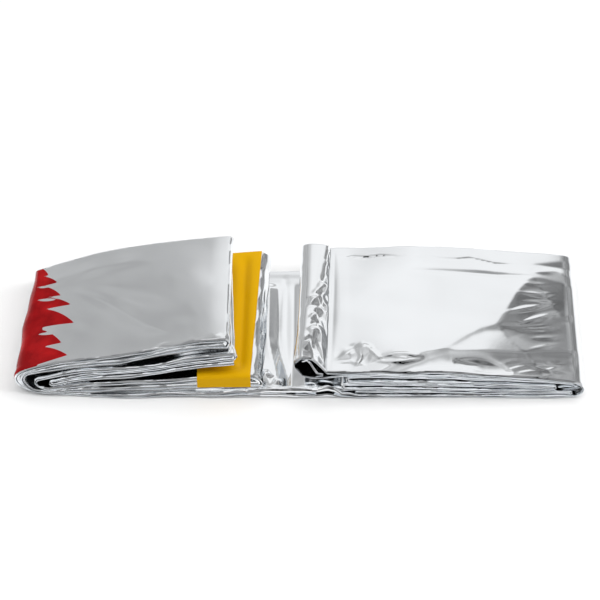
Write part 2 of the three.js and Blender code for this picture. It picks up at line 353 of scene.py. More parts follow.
class Strip:
    """Stations of a stretch of the strip, each with the name of the area that it lies in"""

    def __init__(self):
        self.rows = np.empty((0, 6))
        self.areas = []

    def go_on(self, area, run):
        self.rows = np.vstack([self.rows, run])
        self.areas += [area] * len(run)

    def fold_into(self, area, run, fold_area="fold", crease=0.0):
        """Makes a half turn into the next run, along the slopes of both or turned off them by crease."""
        before, start, end, after = (row[[X, Z]] for row in (*self.rows[-2:], *run[:2]))
        width = np.hypot(*(end - start))
        onward = (end - start) * math.sin(math.radians(crease))
        leaving, arriving = (
            HALF_TURN_SLOPE * (width * math.cos(math.radians(crease)) * way / np.hypot(*way) + onward)
            for way in (start - before, after - end)
        )
        steps = max(FEWEST_FOLD_STEPS, round(HALF_TURN_LENGTH * width / FOLD_STEP))
        t = np.linspace(0, 1, steps + 1)[1:-1, None]
        turn = self.rows[-1] + (run[0] - self.rows[-1]) * t
        turn[:, [X, Z]] = cubic(t, start, end, leaving, arriving)
        self.go_on(fold_area, turn)
        self.go_on(area, run)


# Relief of the film. Its places are u and y: u is x on a run, and the distance along the film on the loop
# and the folds. A crease is a ridge, or a trough where its height is negative, along points. It fades over
# width to the sides and out at both ends. Sharp ones have a keen crest, the others are soft swellings.
Crease = namedtuple("Crease", "height width sharp points")
CREASE_END_WIDTH = 0.35  # width of a crease at its ends, as a share
CREST_FALL = 1.6  # how fast a keen crest falls off
# A tent has flat facets from its top to its corners.
Tent = namedtuple("Tent", "height top corners")
# A patch of crumpled film: facets about cell wide, up to height, inside an oval of half sizes ru and ry.
Patch = namedtuple("Patch", "u y ru ry height cell waves seed")
PATCH_FADES_FROM = 0.45  # share of the oval where it starts to fade
FACET_LENGTHS = (0.9, 2.4)  # least and most distance between its creases, for a cell of 1
FACET_BEND, FACET_BEND_LENGTH = 0.22, 0.7  # how far they bend, and over which share of that distance
# Slow swellings of a size
SWELL_WAVES = 4
SWELL_LENGTHS = (0.7, 1.6)  # least and most, for a size of 1
COVER_SWELL, COVER_SWELL_SIZE, COVER_SWELL_SEED = 0.07, 26.0, 5


def by_area(kind, table):
    return {area: [kind(*row) for row in rows] for area, rows in table.items()}


CREASES = by_area(Crease, {
    "left_cover": [
        (0.34, 4.5, 0.2, [(-116, 18), (-90, 20), (-62, 19)]),
        (0.15, 4, 0.2, [(-112, 13), (-60, 24)]),
        (0.55, 4, 0.4, [(-100, 8), (-84, -6), (-68, -21), (-56, -30)]),
        (0.3, 6, 0.2, [(-92, 9), (-50, -12)]),
        (-0.34, 6, 0, [(-80, -4), (-42, -25)]),
        (0.2, 5, 0.2, [(-104, -6), (-80, -28)]),
        (0.15, 7, 0, [(-60, 10), (-38, 0)]),
    ],
    "right_cover": [
        (-0.45, 0.8, 0.8, [(16, 34.4), (19, 34.6), (24, 36), (30, 35.2), (36, 36.2), (43, 35.4), (48, 36)]),
        (-0.18, 0.7, 0.8, [
            (46, 36), (58, 35.2), (64, 33.6), (71, 33.6), (77, 34.8), (88, 31.8), (106, 32.4),
        ]),
        (-0.22, 1.8, 0.2, [(50, 25.4), (74, 24.4), (88, 23.8), (106, 24.6)]),
        (-0.22, 1.8, 0, [(14.6, 42), (14.2, 0), (13.4, -42)]),
        (0.14, 1.5, 0.2, [(116, 21.4), (108, 19), (100, 19.2)]),
        (0.24, 1.5, 0.2, [(116, 15.4), (107, 12.2), (97, 12.4)]),
        (0.16, 1.2, 0.3, [(118, 10.6), (109, 7.2), (97, 6)]),
        (0.28, 1.5, 0.4, [(114, 8.6), (103, 3.2), (89.5, -2.4)]),
        (0.34, 1.5, 0.5, [(120, 6), (109, -1.4), (95, -9)]),
        (0.18, 1.2, 0.3, [(116, -6.4), (106, -10.6), (94, -12.4)]),
        (0.14, 1.2, 0.2, [(118, -11.6), (110, -15.6), (100, -17.4)]),
        (0.12, 1.2, 0.2, [(116, -17.6), (108, -21.2), (98, -25.4)]),
        (0.26, 1.7, 0.5, [(117, 30.6), (111, 28.6), (104.5, 27.8)]),
        (-0.95, 3.4, 0, [(66, -34.4), (78, -36.9), (91, -40)]),
        (0.6, 1.4, 0.4, [(31.4, -35), (35.5, -32.6), (40.5, -31.2), (46, -31.2), (53.5, -33.4)]),
        (0.45, 1.1, 0.4, [(31.8, -35.6), (38, -36.2), (45, -35.9), (53.5, -34)]),
        (0.3, 0.9, 0.4, [(38.5, -32.6), (43.5, -33.6), (48.5, -34.4)]),
        (0.5, 2.8, 0, [(46, -42), (64, -43), (79, -42)]),
        (0.36, 0.9, 0.7, [(30, -24), (22, -28.4), (15.4, -35.4)]),
        (0.3, 0.8, 0.7, [(25, -28), (26.4, -33), (23.6, -39.4)]),
        (0.42, 1, 0.7, [(28.6, -23.6), (30.6, -28.4), (36, -36)]),
        (0.22, 0.7, 0.7, [(15.6, -36.4), (22, -35.6), (29, -38.4)]),
        (0.12, 0.9, 0.6, [(85, -35.2), (91, -33), (97, -31.6)]),
        (0.14, 0.9, 0.6, [(88, -39), (94, -36.4), (100, -34.8)]),
        (0.12, 0.9, 0.6, [(93, -40), (99, -38.4), (104, -38.6)]),
        (0.22, 1.8, 0.4, [(117, -30), (112, -33.2), (107, -36.6), (98, -35.4)]),
        (0.16, 1.6, 0.4, [(117, -37), (112, -38.2), (104, -41)]),
    ],
    "bridge": [(-0.3, 2.6, 0, [(-6.4, 40), (-6.8, 0), (-5.6, -32)])],
    "band_fold": [
        (0.45, 1.5, 0.3, [(2, 42), (2.3, 20), (1.8, -4), (2.4, -24), (2.2, -41)]),
        (-0.4, 1.5, 0.2, [(4, 42), (4.4, 12), (3.8, -14), (4.2, -41)]),
    ],
})
TENTS = by_area(Tent, {
    "left_cover": [
        (0.5, (-36, -36.2), [(-41, -37.6), (-35, -38.8), (-32.2, -36.8), (-33.6, -34), (-38, -34.6)]),
        (0.3, (-46.5, -36.8), [(-51, -38.2), (-44, -38.8), (-42.6, -37), (-46, -35.4)]),
        (0.4, (-58, -36.8), [(-64, -38.4), (-56, -38.8), (-53.4, -37), (-58, -35.2)]),
    ],
    "right_cover": [
        (0.45, (28.7, -25.4), [
            (15.5, -35), (24, -38.6), (31, -37), (35, -34.4), (31.4, -25.4), (26, -22.6),
        ]),
    ],
    "loop": [
        (0.35, (3, 38.5), [(0.3, 34), (5.5, 34.5), (6, 39), (2, 41)]),
        (0.3, (3.5, 28.3), [(0.5, 25.8), (6.5, 25.5), (7, 29.5), (1, 30.5)]),
        (0.3, (3, 18.3), [(1.5, 16), (5, 16.2), (5.5, 19.5), (1.5, 20)]),
        (1.4, (3.8, 10.6), [(0.3, 9), (4.6, 2.8), (10.2, 2.2), (8, 11.5), (3, 14)]),
        (1.0, (8.2, -1.5), [(5.5, -4.5), (11.8, -7.2), (11.5, 0.2), (7, 1.2)]),
        (0.7, (2.2, -2), [(0.4, -5.6), (4.6, -4.6), (4.5, -0.8), (1, 0)]),
        (1.5, (2.6, -6.6), [(0.3, -20.6), (5.8, -12.2), (6.6, -6.4), (3, -5), (0.3, -6)]),
        (0.8, (8.2, -13), [(6.2, -16.4), (10.6, -15.4), (9.5, -11), (6, -11.2)]),
        (1.4, (5, -22.6), [(0.6, -24), (1.4, -39.5), (7.4, -28.2), (11, -23.2), (7, -17.6), (2, -19)]),
        (0.7, (11, -29.2), [(9.6, -30.6), (11.4, -32.4), (13, -30), (11.5, -27.6)]),
        (1.1, (8.6, -32.2), [(5.8, -38.6), (12, -36.8), (11.2, -31.6), (7.4, -30)]),
    ],
    "bridge": [
        (1.0, (-15, -31), [(-18.5, -36), (-13, -38), (-11, -32), (-13.5, -27), (-18, -28)]),
        (0.9, (-10, -35.5), [(-13.5, -40), (-7, -41), (-7.5, -36), (-11, -32.5)]),
    ],
})
PATCHES = by_area(Patch, {
    "right_cover": [
        (112, -36, 8, 8, 0.14, 6, 3, 15),
        (25, -31, 10, 8, 0.15, 5, 3, 17),
    ],
    "loop": [
        (5, -12, 6, 34, 0.15, 8, 2, 21),
        (20, 0, 9, 60, 0.1, 9, 3, 23),
    ],
    "bridge": [
        (-13, -37, 9, 6, 0.4, 7.5, 3, 31),
        (9, -38, 10, 6, 0.7, 6.5, 3, 33),
    ],
    "band_fold": [(3, 0, 9, 60, 0.3, 6.5, 3, 41)],
    "fold": [
        (3, 0, 30, 80, 0.06, 9, 3, 43),
        (3, -39, 10, 6, 0.4, 4.5, 3, 46),
    ],
    "left_fold": [
        (9, 0, 12, 60, 0.3, 11, 3, 44),
        (11, -39, 16, 7, 0.5, 5.5, 3, 45),
    ],
})
BY_X = ("left_cover", "right_cover", "bridge")  # areas whose u is x
INSIDE_SHOWS = ("bridge", "band_fold")  # areas whose relief is on the inside face
CURL_DEPTH, CURL_WIDTH = 0.42, 8.0  # how far the left cover bends down along its open end
COVER_STARTS = (COVER_END_X, COVER_END_X + 2.0)  # the right cover's relief starts and fades out here
COVER_FADES = (104.0, 117.0)

# Near its long edges a run opens into its plies: how far its faces part there, up and down, at places x
EDGE_DEPTH = 6.5
BACK_SWELL = 0.3  # most at a back edge
EDGE_SWELL_MEAN, EDGE_SWELL_UNEVEN, EDGE_SWELL_SIZE = 0.76, 0.3, 24.0  # share that is there, and its change
EDGE_SWELL = {
    "left_cover": ([(0, 0)], [(-117, 1.1), (-100, 1.5), (-56, 1.6), (-32, 1.6)]),
    "under_cover": (
        [(-116, 0.9), (-100, 1.4), (-32, 1.4)],
        [(-116, 0.3), (-92, 1.2), (-79, 1.2), (-71, 0.6), (-60, 0.5), (-49, 1.5), (-32, 1.4)],
    ),
    "middle_high": (
        [(-112, 0.3), (-92, 1.2), (-79, 1.2), (-71, 0.5), (-62, 0.3), (-50, 1.5), (-30, 1.3)],
        [(-112, 0.1), (-88, 0.5)],
    ),
    "inner_high": ([(-107, 0.1), (-88, 0.5)], [(-107, 0.3), (-88, 0.5), (-29, 0.35)]),
    "inner_low": (
        [(-106, 0.3), (-88, 0.5), (-29, 0.35)],
        [(-106, 0.3), (-88, 0.9), (-74, 1.2), (-64, 0.6), (-28, 0.8)],
    ),
    "banded": ([(-107, 0.2), (-88, 0.8), (-74, 1), (-64, 0.2)], [(-107, 0.3), (-88, 1.2), (-56, 1.6)]),
    "lowest": ([(-110, 0.3), (-88, 1), (-56, 1.2)], [(-110, 0.6), (-88, 1.4), (-56, 1.9), (-20, 1.7)]),
    "floor_run": (
        [(-111, 0.8), (-88, 1.1), (-56, 2), (-23, 3.4), (15, 6), (17.5, 2.2), (22.5, 2.2), (24, 0.6)],
        [(0, 0)],
    ),
    "bridge": ([(-23, 3.4), (-14, 4.9), (4, 5.2), (12, 7), (15, 6)], [(0, 0)]),
    "inner_run": ([(0, 0.31)], [(0, 0.31)]),
    "right_cover": ([(0, 0)], [(0, 0.45)]),
    "loop": ([(0, 0)], [(0, 0)]),
    "ply": ([(0, 0)], [(0, 0)]),
}


def from_line(points, u, y):
    """The distance of places to a row of points, whether they are on its left, and the share along it"""
    points = np.array(points, float)
    lengths = np.hypot(*np.diff(points, axis=0).T)
    starts = np.r_[0, np.cumsum(lengths)]
    nearest, share, left = np.full_like(u, np.inf), np.zeros_like(u), np.zeros_like(u, bool)
    for (start_u, start_y), step, length, start in zip(points, np.diff(points, axis=0), lengths, starts):
        along_u, along_y = step / length
        reach = np.clip((u - start_u) * along_u + (y - start_y) * along_y, 0, length)
        away = np.hypot(u - start_u - reach * along_u, y - start_y - reach * along_y)
        nearer = away < nearest
        share = np.where(nearer, (start + reach) / starts[-1], share)
        left = np.where(nearer, along_u * (y - start_y) > along_y * (u - start_u), left)
        nearest = np.minimum(nearest, away)
    return nearest, left, share


def crease_height(crease, u, y):
    nearest, _, share = from_line(crease.points, u, y)
    fade = np.clip(np.sin(np.pi * share), 0, 1)
    away = nearest / (crease.width * (CREASE_END_WIDTH + (1 - CREASE_END_WIDTH) * fade))
    soft, keen = np.exp(-away * away), np.exp(-CREST_FALL * away)
    return crease.height * fade * (soft + (keen - soft) * crease.sharp)


def tent_height(tent, u, y):
    share = np.zeros_like(u)
    off_u, off_y = u - tent.top[0], y - tent.top[1]
    corners = np.array(tent.corners, float) - tent.top
    for (first_u, first_y), (next_u, next_y) in zip(corners, np.roll(corners, -1, axis=0)):
        area = first_u * next_y - next_u * first_y
        to_first = (off_u * next_y - next_u * off_y) / area
        to_next = (first_u * off_y - off_u * first_y) / area
        within = (to_first >= 0) & (to_next >= 0)
        share = np.where(within, np.maximum(share, 1 - to_first - to_next), share)
    return tent.height * share


def turned(u, y, angle):
    """Distances along a direction and to the left of it"""
    return u * math.cos(angle) + y * math.sin(angle), y * math.cos(angle) - u * math.sin(angle)


def facets(u, y, cell, waves, seed):
    """Flat facets that meet in creases, from about -1 to 1: a few folded waves that cross each other"""
    draw = np.random.default_rng(seed)
    total, most = np.zeros_like(u), 0.0
    for _ in range(waves):
        angle, phase, bend = draw.uniform(0, np.pi), draw.uniform(0, 1), draw.uniform(0, 2 * np.pi)
        length = cell * draw.uniform(*FACET_LENGTHS)
        along, aside = turned(u, y, angle)
        turn = along / length + FACET_BEND * np.sin(aside / (FACET_BEND_LENGTH * length) + bend) + phase
        total += length * (np.abs(4 * (turn % 1) - 2) - 1)
        most += length
    return total / most * 2


def patch_height(patch, u, y):
    out = np.hypot((u - patch.u) / patch.ru, (y - patch.y) / patch.ry)
    height = patch.height * (1 - smoothstep(out, PATCH_FADES_FROM, 1))
    return height * facets(u, y, patch.cell, patch.waves, patch.seed)


def swells(u, y, size, seed):
    """Slow smooth swellings, from about -1 to 1"""
    draw = np.random.default_rng(seed)
    total = np.zeros_like(u)
    for _ in range(SWELL_WAVES):
        angle, phase = draw.uniform(0, np.pi), draw.uniform(0, 2 * np.pi)
        length = size * draw.uniform(*SWELL_LENGTHS)
        total += np.sin(2 * np.pi * turned(u, y, angle)[0] / length + phase)
    return total / SWELL_WAVES


def relief(area, u, y):
    """How far the film stands off its run: the face outside the folds, then the one inside them"""
    raised, flat = np.zeros_like(u), np.zeros_like(u)
    for table, height in ((CREASES, crease_height), (TENTS, tent_height), (PATCHES, patch_height)):
        for row in table.get(area, []):
            raised += height(row, u, y)
    if area in ("left_cover", "right_cover"):
        raised += COVER_SWELL * swells(u, y, COVER_SWELL_SIZE, COVER_SWELL_SEED)
    if area == "left_cover":
        curl = np.clip((u - LEFT_RUNS[area].open_x) / CURL_WIDTH + 1, 0, 1)
        raised -= CURL_DEPTH * curl * curl
    if area == "right_cover":
        raised *= (1 - smoothstep(u, *COVER_FADES)) * smoothstep(u, *COVER_STARTS)
    return (flat, raised) if area in INSIDE_SHOWS else (raised, flat)


def edge_swells(x, areas, reached, inside_up, seed):
    """How far the faces of a strip part at its edges, for each station: outside, then inside"""
    values = np.full((2, len(x)), np.nan)
    for area, (up, down) in EDGE_SWELL.items():
        here = areas == area
        rising, falling = (np.interp(x[here], *np.transpose(side)) for side in (up, down))
        values[0, here] = np.where(inside_up[here], falling, rising)
        values[1, here] = np.where(inside_up[here], rising, falling)
    known = ~np.isnan(values[0])
    uneven = EDGE_SWELL_MEAN + EDGE_SWELL_UNEVEN * swells(reached, 0 * reached, EDGE_SWELL_SIZE, seed)
    return [uneven * np.interp(reached, reached[known], side[known]) for side in values]


def edge_share(swell, y, front, back):
    """Spreads the swell of each station over the strip's width: most at the edges"""
    near_front = 1 - smoothstep(y - front[:, None], 0, EDGE_DEPTH)
    near_back = 1 - smoothstep(back[:, None] - y, 0, EDGE_DEPTH)
    return swell[:, None] * near_front + np.minimum(swell, BACK_SWELL)[:, None] * near_back


def settle(points):
    """Moves points by the unevenness of the stacks."""
    x, y, z = np.moveaxis(points, -1, 0)
    share = smoothstep(z, WAVE_FROM_Z, WAVE_FULL_Z)
    along = WAVE_ALONG * np.sin(x / WAVE_ALONG_LENGTH) * np.cos(y / WAVE_ACROSS_LENGTH)
    sunk = DROOP * part_way(x, *DROOP_X) ** 2
    for sag in SAGS:
        nearest, left, _ = from_line(sag.points, x, y)
        away = np.where(left, nearest, 0)
        away = np.where(away < SAG_SOFT, away * away / (2 * SAG_SOFT), away - SAG_SOFT / 2)
        level = 1 - np.clip(away / sag.reach, 0, 1)
        sunk += sag.slope * sag.reach / 2 * (1 - level * level)
    sunk *= np.clip(z / SAG_FULL_Z, 0, 1)
    front = np.sin(np.pi * part_way(x, *FRONT_SAG_X)) ** 2 * (1 - smoothstep(y, *FRONT_SAG_Y))
    sunk += FRONT_SAG * z * front
    uneven = share * (along + WAVE_ACROSS * np.sin(y / WAVE_ACROSS_LENGTH))
    points[..., 2] = np.maximum(z + uneven - sunk, LOWEST_Z)
    points[..., 0] += END_SKEW * smoothstep(x, *END_SKEW_X) * (0.5 + 0.5 * y / EDGE_Y)
    return points


def edge_profile(plies):
    """Points round a long edge, for each ply a round and then the slit to the next: how far out of it, how
    far up between the faces, the ply, and whether it is the end of a slit"""
    middles = -1 + (2 * np.arange(plies) + 1) / plies
    out = np.tile(np.r_[EDGE_BULGE * np.cos(PLY_ANGLES), -SLIT_DEPTH], plies)[:-1]
    up = (middles[:, None] + np.r_[(1 - SLIT_SHARE) * np.sin(PLY_ANGLES), 1] / plies).ravel()[:-1]
    ply = np.repeat(np.arange(plies), len(PLY_ANGLES) + 1)[:-1]
    return out, up, ply, out == -SLIT_DEPTH


def sheet_rings(centres, normals, inside, outside, reached, plies, seed, half_layer):
    """Rings round a sheet: its inside face, its far edge, its outside face back again and its near edge"""
    out, up, ply, slit_end = edge_profile(plies)
    distance, row = np.broadcast_arrays(reached[:, None], ply[None, :] * PLY_APART)
    wander = facets(distance, row, *PLY_WANDER_FACETS, seed)
    waver = facets(distance, row, *PLY_WAVER_FACETS, seed + 1)
    up = up + PLY_WAVER * (1 - up * up) * waver
    faces = [centres + normals * offset[..., None] for offset in (inside, outside)]
    edges = []
    for k, way, side in ((-1, 1, "back"), (0, -1, "front")):
        middle = (inside[:, k] + outside[:, k]) / 2
        half = (inside[:, k] - outside[:, k]) / 2
        offset = middle[:, None] - way * up * half[:, None]
        offset = np.where(slit_end, -way * up * half_layer, offset)
        edge = centres[:, k, None] + normals[:, k, None] * offset[..., None]
        edge[..., 1] += way * (out + EDGE_BULGE * PLY_WANDER[side] * wander)
        edges.append(edge)
    return np.concatenate([faces[0], edges[0], faces[1][:, ::-1], edges[1]], axis=1)


SHARP_ANGLE = 40.0  # edges that turn more than this are creases


def add_object(name, data):
    made = bpy.data.objects.new(name, data)
    bpy.context.scene.collection.objects.link(made)
    return made


def closed_mesh(name, rings, count):
    """A closed mesh through rings that have count points on each face"""
    number, size = rings.shape[:2]
    i, j = np.meshgrid(np.arange(number - 1), np.arange(size), indexing="ij")
    a, b = i * size + j, i * size + (j + 1) % size
    quads = np.stack([a, a + size, b + size, b], axis=-1).reshape(-1, 4).tolist()
    edge = size // 2 - count
    j = np.arange(count - 1)
    below = 2 * count + edge - 1 - j
    cap = np.stack([j, j + 1, below - 1, below], axis=-1).tolist()
    cap.append(list(range(count - 1, count + edge + 1)))
    cap.append(list(range(2 * count + edge - 1, size)) + [0])
    last = (number - 1) * size
    quads += cap + [[last + k for k in reversed(face)] for face in cap]
    mesh = bpy.data.meshes.new(name)
    mesh.from_pydata((rings.reshape(-1, 3) * MM).tolist(), [], quads)
    mesh.validate()
    mesh.shade_smooth()
    mesh.set_sharp_from_angle(angle=math.radians(SHARP_ANGLE))
    return add_object(name, mesh)


def across_places(count, closer=0.0):
    """Places across the strip from -0.5 to 0.5, near the edges closer together by a share"""
    even = np.linspace(-1, 1, count)
    return 0.5 * ((1 - closer) * even + closer * np.sin(even * np.pi / 2))


def film_piece(name, strip, across, seed, plies=PLIES, half_layer=HALF_LAYER):
    """A stretch of the strip as a closed thin sheet, with its relief. Returns it with its length."""
    rows = strip.rows
    areas = np.array(strip.areas)
    reached = np.r_[0, np.cumsum(np.hypot(np.diff(rows[:, X]), np.diff(rows[:, Z])))]
    front, back = (
        rows[:, FRONT + k] + wander * swells(reached, 0 * reached, size, seed + k)
        for k, (wander, size) in enumerate(EDGE_WANDER)
    )
    centres = np.stack([
        rows[:, X, None] + rows[:, SKEW, None] * across,
        front[:, None] + (back - front)[:, None] * (across + 0.5),
        rows[:, Z, None] + rows[:, LIFT, None] * across,
    ], axis=-1)
    rise = shape_film(areas, centres)
    normals = np.cross(np.gradient(centres, axis=0), np.gradient(centres, axis=1))
    normals /= np.linalg.norm(normals, axis=-1, keepdims=True)
    y, middle = centres[..., 1], len(across) // 2
    inside_up = normals[:, middle, 2] > 0
    swollen = edge_swells(rows[:, X], areas, reached, inside_up, seed)
    out_swell, in_swell = (np.maximum(edge_share(side, y, front, back) - rise, 0) for side in swollen)
    out_swell += rise * edge_share(np.ones(len(rows)), y, front, back)
    outside, inside = -half_layer - out_swell, half_layer + in_swell
    ends = np.flatnonzero(areas[1:] != areas[:-1]) + 1
    for here in np.split(np.arange(len(rows)), ends):
        u = rows[here, X] if areas[here[0]] in BY_X else reached[here] - reached[here[0]]
        raised, deepened = relief(areas[here[0]], np.repeat(u[:, None], len(across), axis=1), y[here])
        outside[here] -= raised
        inside[here] += deepened
    rings = sheet_rings(centres, normals, inside, outside, reached, plies, seed, half_layer)
    piece = closed_mesh(name, settle(rings), len(across))
    if "left_fold" in strip.areas:
        fold_start = reached[np.flatnonzero(areas == "left_fold")[0]]
        paint_red(piece, (fold_start - reached)[:, None], y, rings.shape[1])
    return piece, np.linalg.norm(np.diff(centres[:, middle], axis=0), axis=1).sum()


# Red area on the left cover and its fold. w is the distance along the film from where the fold starts, to
# the right. Tongues start there at y, half is half their width, and lean is how far their tip moves in y.
Tongue = namedtuple("Tongue", "y half reach lean")
RED_TONGUES = [
    Tongue(26.5, 3.6, 6, -3.5),
    Tongue(20, 3.8, 11, -4),
    Tongue(12.5, 4.4, 13.5, -6),
    Tongue(4.5, 4.6, 19, -6),
    Tongue(-5.5, 6.6, 21.5, -9),
    Tongue(-19, 7, 16.5, -7),
    Tongue(-31, 6.6, 20, -4),
]
RED_EDGE_Y = [-38, -26, -12, 0, 12, 22, 31]  # the red reaches at least this far at these places
RED_EDGE_W = [6, 9, 6, 7, 4, 3, 0.6]
RED_LOWEST = -7.0
RED_DEEPEST = 1.0  # depths in it, or off it, are marked up to this
TONGUE_END = 2.0  # no tongue counts further along than this many times its reach
# Slits of bare film in it
Slit = namedtuple("Slit", "w y half_length half_height tilt")
RED_SLITS = [
    Slit(4.0, 15.5, 3.2, 0.6, -0.30),
    Slit(6.5, 6.0, 5.0, 0.8, -0.30),
    Slit(9.0, -17.5, 5.2, 0.8, -0.25),
]


def red_depth(w, y):
    """How far inside the red area a place is, in millimetres, negative outside it"""
    depth = np.interp(y, RED_EDGE_Y, RED_EDGE_W) - w
    for tongue in RED_TONGUES:
        share = np.clip(w / tongue.reach, 0, TONGUE_END) ** 2
        depth = np.maximum(depth, tongue.half * (1 - share) - np.abs(y - tongue.y - tongue.lean * share))
    for slit in RED_SLITS:
        along, aside = turned(w - slit.w, y - slit.y, slit.tilt)
        depth = np.minimum(depth, np.abs(aside) - slit.half_height * (1 - (along / slit.half_length) ** 2))
    return np.minimum(depth, w - RED_LOWEST)


def paint_red(piece, w, y, ring_size):
    """Marks the red area on the outside face of a sheet."""
    count = y.shape[1]
    edge = ring_size // 2 - count
    values = np.full((len(y), ring_size), -RED_DEEPEST)
    values[:, count + edge:2 * count + edge] = np.clip(red_depth(w, y), -RED_DEEPEST, RED_DEEPEST)[:, ::-1]
    piece.data.attributes.new("red", "FLOAT", "POINT").data.foreach_set("value", values.ravel())


def left_core_strip():
    """The runs inside the left stack, from the strip's free end"""
    strip = Strip()
    strip.go_on("inner_low", opening("inner_low")[::-1])
    for name, way in (("inner_high", 1), ("middle_high", -1), ("banded", 1)):
        strip.fold_into(name, opening(name)[::way])
    lowest = left_run("lowest", spread(LEFT_RUNS["lowest"].open_x, LOWEST_CUT_X))
    strip.fold_into("lowest", lowest, "band_fold")
    return strip


def left_cover_strip():
    """The two upper runs of the left stack and the turn under it"""
    strip = Strip()
    strip.go_on("lowest", left_run("lowest", spread(LOWEST_CUT_X, LEFT_RUNS["lowest"].fold_x)))
    strip.fold_into("under_cover", opening("under_cover"))
    strip.fold_into("left_cover", opening("left_cover", FINE)[::-1], crease=COVER_CREASE)
    strip.fold_into("floor_run", floor_run(FLOOR_FOLD_X, FLOOR_CUT_X), "left_fold")
    return strip


def right_cover_strip():
    """The run on the table between the stacks, the wrap, the right cover and the loop"""
    strip = Strip()
    strip.go_on("floor_run", floor_run(FLOOR_CUT_X, BRIDGE[0])[:-1])
    strip.go_on("bridge", floor_run(*BRIDGE, FINE))
    strip.go_on("floor_run", floor_run(BRIDGE[1], WRAP_X, COARSE)[1:])
    strip.fold_into("right_cover", right_run(WRAP_X, COVER_END_X, 1, -EDGE_Y, EDGE_Y, FINE), "wrap")
    strip.go_on("loop", loop_run(LOOP_STATIONS)[1:])
    strip.go_on("inner_run", inner_run(0, INNER_RUNS[0].left_x, CORE_CUT_X, COARSE))
    return strip


def loose_ply_strip(ply):
    x, z = along_points(np.array(ply.points), LOOSE_PLY_STEPS).T
    strip = Strip()
    strip.go_on("ply", stations(x, z, ply.front, ply.back))
    return strip


def right_core_strip():
    """The runs inside the right stack"""
    strip = Strip()
    strip.go_on("inner_run", inner_run(0, CORE_CUT_X, INNER_RUNS[0].right_x))
    for index, row in enumerate(INNER_RUNS[1:], start=1):
        ends = (row.left_x, row.right_x) if index % 2 == 0 else (row.right_x, row.left_x)
        strip.fold_into("inner_run", inner_run(index, *ends))
    return strip


# Yellow band: a thin film over the top and front of the banded run
BAND_LEFT_X = -44.0
BAND_PAST = 0.8  # how far it passes the run's open end
BAND_BOTTOM_Z = 5.9
BAND_CORNER = 1.5
BAND_PROUD = 0.8  # middle plane above the run's upper face
BAND_HALF = 0.22
BAND_ROUND = 0.2  # how far its side edges are rounded out
BAND_COLUMNS = 44
BAND_TOP_ROWS, BAND_CORNER_ROWS, BAND_FLAP_ROWS = 90, 9, 11
BAND_TOP_ENDS = (0.4, 0.05)  # the last rows of the top lie between these places behind the corner
BAND_DENT = Crease(-0.3, 1.6, 0.2, [(-43, -34.5), (-24, -36.5)])
BAND_SWELL, BAND_SWELL_SIZE, BAND_SWELL_SEED = 0.05, 20.0, 8


def band_line(share):
    """Points of the band at a share of its width, from back to front and down, and the way off it"""
    row = LEFT_RUNS["banded"]
    across = np.linspace(0.5, -0.5, BAND_TOP_ROWS + 2)[:-2]
    x = BAND_LEFT_X + (row.open_x + BAND_PAST + row.skew * across - BAND_LEFT_X) * share
    under = left_run("banded", np.minimum(x - row.skew * across, row.open_x))
    y = under[:, FRONT] + (under[:, BACK] - under[:, FRONT]) * (across + 0.5)
    z = under[:, Z] + under[:, LIFT] * across + HALF_RUN + BAND_PROUD
    corner_y = row.front - EDGE_ROOM - BAND_PROUD + BAND_CORNER
    last = y <= corner_y + BAND_TOP_ENDS[0]
    y[last] = corner_y + np.linspace(*BAND_TOP_ENDS, last.sum())
    turn = np.linspace(0, np.pi / 2, BAND_CORNER_ROWS)
    turn_y = corner_y - BAND_CORNER * np.sin(turn)
    turn_z = z[-1] - BAND_CORNER * (1 - np.cos(turn))
    points = np.stack([
        np.r_[x, np.full(BAND_CORNER_ROWS + BAND_FLAP_ROWS, x[-1])],
        np.r_[y, turn_y, np.full(BAND_FLAP_ROWS, turn_y[-1])],
        np.r_[z, turn_z, np.linspace(turn_z[-1], BAND_BOTTOM_Z, BAND_FLAP_ROWS + 1)[1:]],
    ], axis=1)
    angle = np.r_[np.zeros(BAND_TOP_ROWS), turn, np.full(BAND_FLAP_ROWS, turn[-1])]
    return points, np.stack([0 * angle, -np.sin(angle), np.cos(angle)], axis=1)


def band_piece():
    lines = [band_line(share) for share in np.linspace(0, 1, BAND_COLUMNS)]
    points, off = (np.stack(side, axis=1) for side in zip(*lines))
    x, y = points[..., 0], points[..., 1]
    raised = crease_height(BAND_DENT, x, y) + BAND_SWELL * swells(x, y, BAND_SWELL_SIZE, BAND_SWELL_SEED)
    raised -= band_trough(x, y)
    outer, inner = (points + off * (raised + half)[..., None] for half in (BAND_HALF, -BAND_HALF))
    rounding = np.array([BAND_ROUND, 0, 0])
    left, right = ((outer + inner)[:, [k]] / 2 + way * rounding for k, way in ((0, -1), (-1, 1)))
    rings = np.concatenate([outer, right, inner[:, ::-1], left], axis=1)
    return closed_mesh("yellow_band_film", settle(rings), BAND_COLUMNS)


# Materials
def set_inputs(made, inputs):
    """Sets inputs of a node, by socket, to values or other nodes' outputs."""
    for key, value in inputs.items():
        if isinstance(value, bpy.types.NodeSocket):
            made.id_data.links.new(value, made.inputs[key])
        else:
            made.inputs[key].default_value = value


def node(tree, kind, inputs=(), **settings):
    made = tree.nodes.new(kind)
    for key, value in settings.items():
        setattr(made, key, value)
    set_inputs(made, dict(inputs))
    return made


